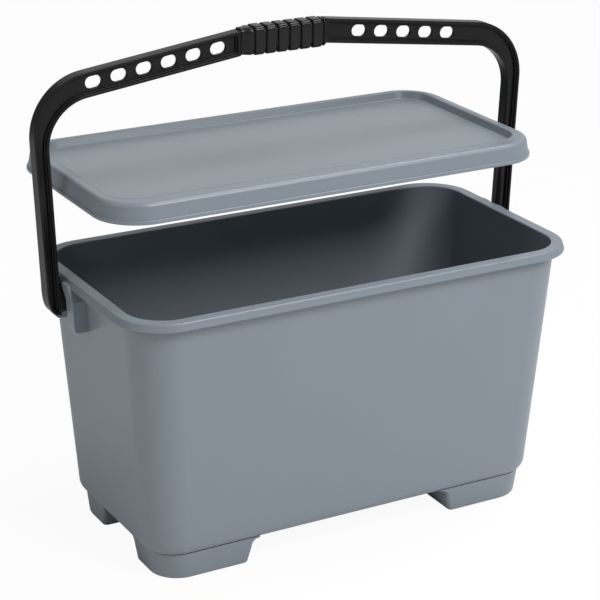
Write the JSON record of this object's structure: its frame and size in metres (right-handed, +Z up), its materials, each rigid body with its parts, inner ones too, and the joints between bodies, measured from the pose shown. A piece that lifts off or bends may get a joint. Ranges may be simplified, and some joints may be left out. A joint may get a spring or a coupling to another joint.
{
  "type": "rectangular mop bucket with lid",
  "caption": "Long rectangular plastic mop bucket on corner feet, with a loose lid and a swinging carrying handle with a ribbed grip.",
  "frame": {"origin": "on the floor, under the middle of the tub and raised lid together", "axes": "+X along the long side, to the right seen from the front; +Y to the back; +Z up"},
  "size_m": [0.5544, 0.2978, 0.5104],
  "materials": {
    "grey_plastic": "blue-grey moulded polypropylene with a fine satin texture",
    "black_plastic": "black moulded nylon, half gloss",
    "black_grip": "black moulded grip, half gloss",
    "pale_nylon": "natural nylon"
  },
  "bodies": {
    "tub": {"tub": "grey_plastic", "pivot_pin_left": "pale_nylon", "pivot_pin_right": "pale_nylon", "pivot_washer_left": "pale_nylon", "pivot_washer_right": "pale_nylon"},
    "handle": {"handle_left": "black_plastic", "handle_right": "black_plastic", "grip_front": "black_grip", "grip_rear": "black_grip", "lap_pin_left": "pale_nylon", "lap_pin_right": "pale_nylon"},
    "lid": {"lid": "grey_plastic"}
  },
  "joints": [
    {"name": "handle_swing", "type": "hinge", "parent": "tub", "child": "handle", "pos_m": [0, 0.0219, 0.261], "axis": [1, 0, 0], "range_deg": [-156, 129]},
    {"name": "lid_lift", "type": "slide", "parent": "tub", "child": "lid", "axis": [-0.0656, 0.4593, 0.8858], "range_m": [-0.09144, 0.04]}
  ]
}
